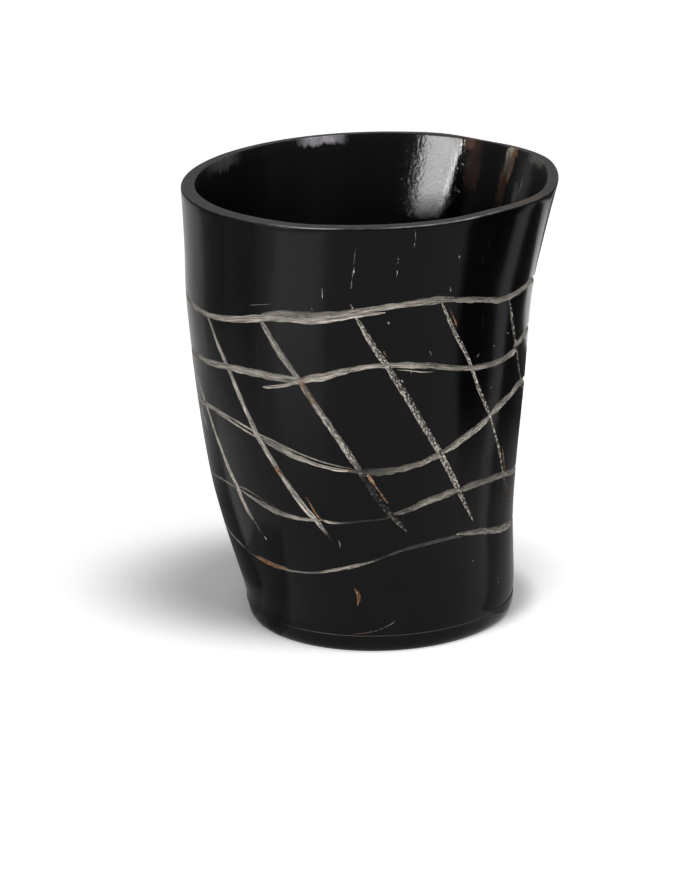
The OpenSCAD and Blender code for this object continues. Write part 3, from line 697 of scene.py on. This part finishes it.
    [(-101.0, 17.6, 0.06, 0.8), (-100.7, 16.9, 0.16, 0.9), (-100.9, 16.4, 0.06, 0.6)],
    [(-46.4, 12.0, 0.06, 0.3), (-46.0, 11.8, 0.16, 0.3), (-45.6, 11.6, 0.06, 0.2)],
    [(-30.2, 7.6, 0.05, 0.6), (-29.8, 7.2, 0.18, 0.6), (-29.5, 6.6, 0.05, 0.5)],
    [(-103.5, 2.95, 0.05, 0.25), (-98, 3.15, 0.1, 0.3), (-93, 3.5, 0.12, 0.35), (-89, 4.0, 0.12, 0.4),
     (-86, 4.5, 0.12, 0.6), (-84.5, 4.8, 0.05, 0.6)],
]
# Brown splinters torn along the cuts, and a chip near the foot
splinters = [
    [(-89.4, 28.2, 0.15, 0.8), (-88.2, 27.3, 0.5, 1), (-87, 26.5, 0.4, 0.9), (-85.6, 25.6, 0.22, 0.8),
     (-84, 24.5, 0.3, 0.9), (-82.6, 23.6, 0.26, 0.8), (-81.6, 23.0, 0.08, 0.8)],
    [(-111.5, 23.9, 0.08, 0.7), (-110, 22.8, 0.2, 0.5), (-108.4, 21.6, 0.3, 0.5), (-107, 20.8, 0.25, 0.5),
     (-106.2, 20.3, 0.1, 0.5)],
    [(-61.2, 50.8, 0.06, 0.3), (-59.6, 49.7, 0.16, 0.3), (-58.2, 48.7, 0.32, 0.8), (-57.6, 48.2, 0.28, 0.9),
     (-57.2, 47.8, 0.06, 0.5)],
    [(-29.9, 27.4, 0.08, 0.5), (-28.6, 26.2, 0.3, 0.6), (-27.2, 24.9, 0.38, 0.8), (-26, 23.8, 0.3, 0.7),
     (-25.2, 23.0, 0.1, 0.6)],
    [(-23.8, 21.8, 0.08, 0.6), (-22.6, 20.8, 0.26, 0.7), (-21.2, 19.5, 0.22, 0.7), (-20, 18.3, 0.06, 0.6)],
    [(-98.4, 10.3, 0.08, 0.5), (-97.9, 9.7, 0.25, 0.6), (-97.2, 9.0, 0.5, 0.45), (-97.3, 8.4, 0.5, 0.45),
     (-98.0, 7.9, 0.3, 0.6), (-98.5, 7.3, 0.08, 0.6)],
    [(-97.9, 9.9, 0.06, 1), (-97.0, 9.5, 0.14, 1), (-96.5, 8.9, 0.16, 1), (-96.7, 8.6, 0.06, 1)],
]
# Places where the cut horn is brown: angle, height, reach in millimetres, how brown
brown_places = [
    (-109.5, 40.7, 0.8, 0.7), (-107, 38.6, 1.0, 0.45), (-121.5, 27.3, 0.7, 0.8), (-94.5, 28.4, 0.5, 0.7),
    (-136, 12.4, 2.4, 1), (-130, 12.1, 1.1, 0.9), (-58, 48.4, 0.6, 0.9), (-82, 45.1, 0.5, 0.8),
    (-95, 3.3, 3.4, 0.4), (-142, 20.8, 1.2, 0.15)
]

# Carved horn: raw and fibrous along the stroke, broken into chips where the stroke runs down the
# horn, with brown places. Painted shade darkens each cut towards its upper side, painted highlights
# brighten the edges of the palest cuts, and painted glints fleck the downward strokes
horn_carved, tree, shader, place = new_finish(
    "carved horn", {"IOR": 1.2, "Specular IOR Level": 0.2, "Roughness": 0.7})
stroke = node(tree, "UVMap", uv_map="stroke").outputs[0]
tone = node(tree, "SeparateXYZ", {0: node(tree, "UVMap", uv_map="tone").outputs[0]}).outputs
side = node(tree, "SeparateXYZ", {0: node(tree, "UVMap", uv_map="side").outputs[0]}).outputs


def times(a, b, clamp=False):
    """Product of two values in the carved horn's tree."""
    return maths(tree, "MULTIPLY", a, b, clamp=clamp)


def between(share, a, b):
    """A value that goes from one to another in the carved horn's tree."""
    return node(tree, "Mix", {0: share, 2: a, 3: b}).outputs[0]


fibres = figure(tree, stroke, (13, 0.35, 1), 4, 0.6)
flecks = figure(tree, stroke, (8, 5, 1), 3, 0.65)
rightward = node(tree, "SeparateXYZ", {0: place}).outputs[0]
torn = times(side[1], spread(tree, rightward, -12 * mm, 2 * mm, 0.25, 1))
chips = spread(tree, figure(tree, stroke, (3.2, 1.5, 1), 3, 0.7), 0.45, 0.56, 0.12, 1.3)
broken = between(torn, 1.0, chips)
wander = spread(tree, figure(tree, stroke, (3, 0.5, 2), 3, 0.6), 0.2, 0.8, -0.5, 0.5)
across = maths(tree, "ADD", side[0], wander)
# Painted light and shade across each cut: dark on its upper side, bright on its lower
painted_lighting = between(torn, spread(tree, across, -1.1, 0.0, 0.3, 1.0), spread(tree, across, 0.0, 0.6, 0.14, 1.5))
# Painted highlights along both edges, used on the palest cuts
painted_edge_highlight = spread(tree, maths(tree, "ABSOLUTE", side[0]), 0.2, 0.6, 0.35, 1.4)
painted_lighting = between(spread(tree, tone[0], 0.8, 0.9), painted_lighting, painted_edge_highlight)
pale = times(maths(tree, "POWER", tone[0], 1.7), spread(tree, fibres, 0.42, 0.58, 0.2, 1.25))
pale = times(times(pale, painted_lighting), spread(tree, flecks, 0.36, 0.6, 0.6, 1.2))
pale = times(pale, broken)
# Painted glints: sparse bright dashes on the downward strokes
painted_glints = times(spread(tree, figure(tree, stroke, (5, 2, 4), 2), 0.54, 0.6), times(torn, tone[0]))
pale = maths(tree, "MULTIPLY_ADD", painted_glints, 1.1, pale, clamp=True)
grey = tinted(tree, pale, (0.01, 0.0095, 0.011, 1), (0.78, 0.72, 0.63, 1))
grain = spread(tree, figure(tree, stroke, (7, 3, 1), 3, 0.7), 0.44, 0.58, 0.0, 1.2)
brown_tone = times(spread(tree, fibres, 0.42, 0.6, 0.3, 1.3), spread(tree, across, -1.0, 0.5, 0.15, 1.1))
brown_tone = times(times(brown_tone, grain), spread(tree, tone[0], 0, 0.9, 0.1, 1.3), True)
brown = tinted(tree, brown_tone, (0.045, 0.018, 0.009, 1), (0.62, 0.35, 0.18, 1))
browned = times(tone[1], spread(tree, flecks, 0.36, 0.54, 0.4, 1.2), True)
tree.links.new(tinted(tree, browned, grey, brown), shader.inputs["Base Color"])
lay_bumps(tree, shader, (fibres, 0.7, 0.06), (broken, 0.6, 0.06))

# Every stroke is a round-bottomed tool drawn over the wall, uneven as a hand moves it. For a width
# of one it is this deep and round, and its edge meets the wall at a turn with this sine.
depth_share = 0.27
radius_share = 0.6
edge_sine = 0.836
middle_r = 23 * mm
degree = radians(1) * middle_r
stroke_step = 0.36 * mm
fewest_steps = 8
fine_mark = 0.35 * mm
thinnest_mark = 0.05 * mm
pattern_shift = 41
wander_share = 0.1
swell_share = 0.2
ridge_share = 0.06
ragged_share = 0.05
broad_tool = [radians(-72 + 9 * k) for k in range(17)] + [radians(turn) for turn in (115, 180, -115)]
fine_tool = [radians(-80 + 20 * k) for k in range(9)] + [radians(180)]


def on_wall(angle, z):
    """Spot on the polished wall, and the way it faces, at an angle and a height."""
    out = Vector((cos(radians(angle)), sin(radians(angle)), 0))
    start = Vector((section(z)[0], 0, z)) + out * 2 * mouth_r
    hit, spot, normal, face = wall.ray_cast(start, -out)
    return spot, normal


bpy.context.view_layer.update()
brown_spots = [(on_wall(angle, z * mm)[0], reach * mm, share) for angle, z, reach, share in brown_places]
gouges = bpy.data.collections.new("gouges")
for number, points in enumerate(strokes + splinters):
    along = [0]
    for a, b in zip(points, points[1:]):
        along.append(along[-1] + hypot((b[0] - a[0]) * degree, (b[1] - a[1]) * mm))
    tracks = [[(s, p[k]) for s, p in zip(along, points)] for k in range(4)]
    broadest = max(p[2] for p in points) * mm
    tool = broad_tool if broadest > fine_mark else fine_tool
    sides = len(tool)
    steps = ceil(along[-1] / min(stroke_step, along[-1] / fewest_steps))
    cuts = []
    for i in range(steps + 1):
        s = along[-1] * i / steps
        angle, z, width, pale = (smooth_curve(track, s) for track in tracks)
        width = max(width * mm, thinnest_mark)
        z = z * mm + wander_share * width * noise.noise((s / mm * 0.7, number * 7.3, 0))
        width *= 1 + swell_share * noise.noise((s / mm * 0.8, number * 3.1, 5))
        spot, normal = on_wall(angle, z)
        brown = max(share * exp(-((spot - centre).length / reach)**4)
                    for centre, reach, share in brown_spots) if number < len(strokes) else 1
        cuts.append((s, spot, normal, width, pale, brown))
    corners, steep = [], []
    for i, (s, spot, normal, width, pale, brown) in enumerate(cuts):
        ahead = cuts[min(i + 1, steps)][1] - cuts[max(i - 1, 0)][1]
        side = ahead.cross(normal).normalized()
        steep.append(abs(ahead.z) / ahead.length)
        depth = depth_share * width
        radius = (width**2 / 4 + depth**2) / (2 * depth)
        for turn in tool:
            ridge = ridge_share * noise.noise((turn * 4, s / mm * 0.3, number))
            ragged = ragged_share * noise.noise((turn * 2, s / mm * 2, number + 0.5))
            reach = radius * (1 + ridge + ragged)
            corners.append(spot + normal * (radius - depth - reach * cos(turn)) + side * reach * sin(turn))
    faces, stroke_map, tone_map, side_map = [], [], [], []

    def corner(step, k):
        """Adds one corner's place on the stroke and its tone to the maps, and gives its number."""
        s, spot, normal, width, pale, brown = cuts[step]
        stroke_map.extend((radius_share * sin(tool[k]) * width / mm, s / mm + pattern_shift * number))
        tone_map.extend((pale, brown))
        side_map.extend((sin(tool[k]) / edge_sine, steep[step]))
        return step * sides + k

    for i in range(steps):
        for k in range(sides):
            n = (k + 1) % sides
            faces.append([corner(i, k), corner(i, n), corner(i + 1, n), corner(i + 1, k)])
    faces.append([corner(0, k) for k in reversed(range(sides))])
    faces.append([corner(steps, k) for k in range(sides)])
    mesh = bpy.data.meshes.new("gouge")
    mesh.from_pydata(corners, [], faces)
    for map_name, map_places in (("stroke", stroke_map), ("tone", tone_map), ("side", side_map)):
        mesh.uv_layers.new(name=map_name).data.foreach_set("uv", map_places)
    mesh.materials.append(horn_carved)
    gouge = bpy.data.objects.new("gouge", mesh)
    gouges.objects.link(gouge)
bpy.context.scene.collection.children.link(gouges)
bpy.ops.object.select_all(action="DESELECT")
for gouge in gouges.objects:
    gouge.select_set(True)
bpy.context.view_layer.objects.active = gouge
bpy.ops.object.mode_set(mode="EDIT")
turn_faces_out()
carve = wall.modifiers.new("carve", "BOOLEAN")
carve.operation = "DIFFERENCE"
carve.solver = "MANIFOLD"
carve.material_mode = "TRANSFER"
carve.operand_type = "COLLECTION"
carve.collection = gouges
bpy.context.view_layer.objects.active = wall
bpy.ops.object.modifier_apply(modifier="carve")
for gouge in list(gouges.objects):
    bpy.data.objects.remove(gouge)
bpy.data.collections.remove(gouges)
bpy.ops.object.select_all(action="DESELECT")
wall.select_set(True)
soft_edge = radians(30)
bpy.ops.object.shade_smooth_by_angle(angle=soft_edge)
# The edges of the cuts stay sharp
carved = wall.data.materials.find("carved horn")
edge_sides = {}
for p in wall.data.polygons:
    for key in p.edge_keys:
        edge_sides.setdefault(key, set()).add(p.material_index)
for e in wall.data.edges:
    if carved in edge_sides[e.key] and len(edge_sides[e.key]) > 1:
        e.use_edge_sharp = True
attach(wall, "root")
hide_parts("horn_wall")

# Glue seam
# The cured glue between the wall and the plate: a brown line all round the outside, a sleeve round
# the plate's step, and a hollow bead in the corner of the bore.
plate_t = 2.6 * mm
step_r = 16.45 * mm
floor_z = 3.5 * mm
bead = 0.9 * mm
bead_uneven = 0.08 * mm
line_depth = 0.09 * mm
foot_shift = 0.175 * mm
step_gap = 0.03 * mm
sleeve_rings = 6
bead_rings = 8

seam = first_ring("glue_line_and_bead", foot_r - line_depth, plate_t)
next_ring((0, 0, foot_z), foot_r - line_depth)
for i in range(sleeve_rings + 1):
    next_ring(*bore(foot_z + (floor_z + bead - foot_z) * i / sleeve_rings))
for i in range(1, bead_rings + 1):
    turn = pi / 2 * i / bead_rings
    place, r = bore(floor_z + bead * (1 - sin(turn)))
    next_ring(place, r - bead * (1 - cos(turn)))
next_ring((0, 0, floor_z), step_r + step_gap)
next_ring((0, 0, plate_t), step_r + step_gap)
select_edges_at(seam, plate_t)
bpy.ops.mesh.bridge_edge_loops()
turn_faces_out()
# Brushed in by hand, the bead runs thick and thin
for v in seam.data.vertices:
    if hypot(v.co.x, v.co.y) > foot_r - mm and v.co.z < foot_z + hair:
        v.co.x += foot_shift
    inward = step_r - hypot(v.co.x, v.co.y)
    if v.co.z > floor_z - hair and inward > 0:
        v.co.z += bead_uneven * (1 + noise.noise(v.co / mm * 0.35)) * min(1, inward / bead)
bpy.ops.object.shade_smooth_by_angle(angle=soft_edge)

glue_amber, tree, shader, place = new_finish("cured glue", {})
blotches = figure(tree, place, (700, 700, 700), 3)
colour = use(tree, growth, Dark=(0.004, 0.003, 0.002, 1), Light=(0.016, 0.009, 0.006, 1))["Color"]
dusty = tinted(tree, spread(tree, blotches, 0.45, 0.7), colour, (0.04, 0.02, 0.011, 1))
tree.links.new(dusty, shader.inputs["Base Color"])
tree.links.new(spread(tree, blotches, 0.3, 0.7, 0.25, 0.6), shader.inputs["Roughness"])
lay_bumps(tree, shader, (blotches, 0.4, 0.05))
seam.data.materials.append(glue_amber)
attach(seam, "root")
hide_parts("glue_seam")

# Base plate
# A plate of the same horn closes the foot. It is glued in, sanded flush with the wall and rounded
# below, and a low step on it centres it in the bore.
plate_round_w = 1.4 * mm
plate_round_h = 1.9 * mm
flat_r = foot_r - plate_round_w
flat_inset = 1.2 * mm
plate_lean = 0.1
sanded_hollow = 0.05 * mm
side_slope = 0.07 * mm
edge_band = 0.05 * mm
step_clear = 0.1 * mm
round_rings = 10
floor_rings = 12

plate = first_ring("horn_plate", flat_r, 0)
for i in range(1, round_rings + 1):
    turn = pi / 2 * i / round_rings
    next_ring((0, 0, plate_round_h * (1 - cos(turn))), foot_r - plate_round_w * (1 - sin(turn)))
next_ring((0, 0, plate_t), foot_r)
next_ring((0, 0, plate_t), step_r)
for i in range(floor_rings):
    next_ring((0, 0, floor_z), step_r * (1 - i / floor_rings))
bpy.ops.mesh.edge_face_add()
select_edges_at(plate, 0)
bpy.ops.mesh.edge_face_add()
bpy.ops.mesh.inset(thickness=flat_inset)
turn_faces_out()
# The plate's side goes on down the slope of the wall, and the sanding block left it a little uneven
for v in plate.data.vertices:
    outward = Vector((v.co.x, v.co.y, 0))
    on_side = outward.length > step_r + step_clear and v.co.z > edge_band
    if on_side and v.co.z < plate_t - edge_band:
        share = sin(pi * v.co.z / plate_t)
        v.co -= outward.normalized() * sanded_hollow * share * (1 + noise.noise(v.co / mm * 0.3))
    if on_side:
        v.co -= outward.normalized() * side_slope * v.co.z / plate_t
        v.co.x += foot_shift * v.co.z / plate_t
    if v.co.z < plate_t - hair:
        leaning = 0.5 * (1 - v.co.x / max(outward.length, mm))
        v.co.x += plate_lean * (plate_t - v.co.z) * leaning * outward.length / foot_r
bpy.ops.object.shade_smooth_by_angle(angle=soft_edge)
plate.data.materials.append(horn_black)
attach(plate, "root")
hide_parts("base_plate")
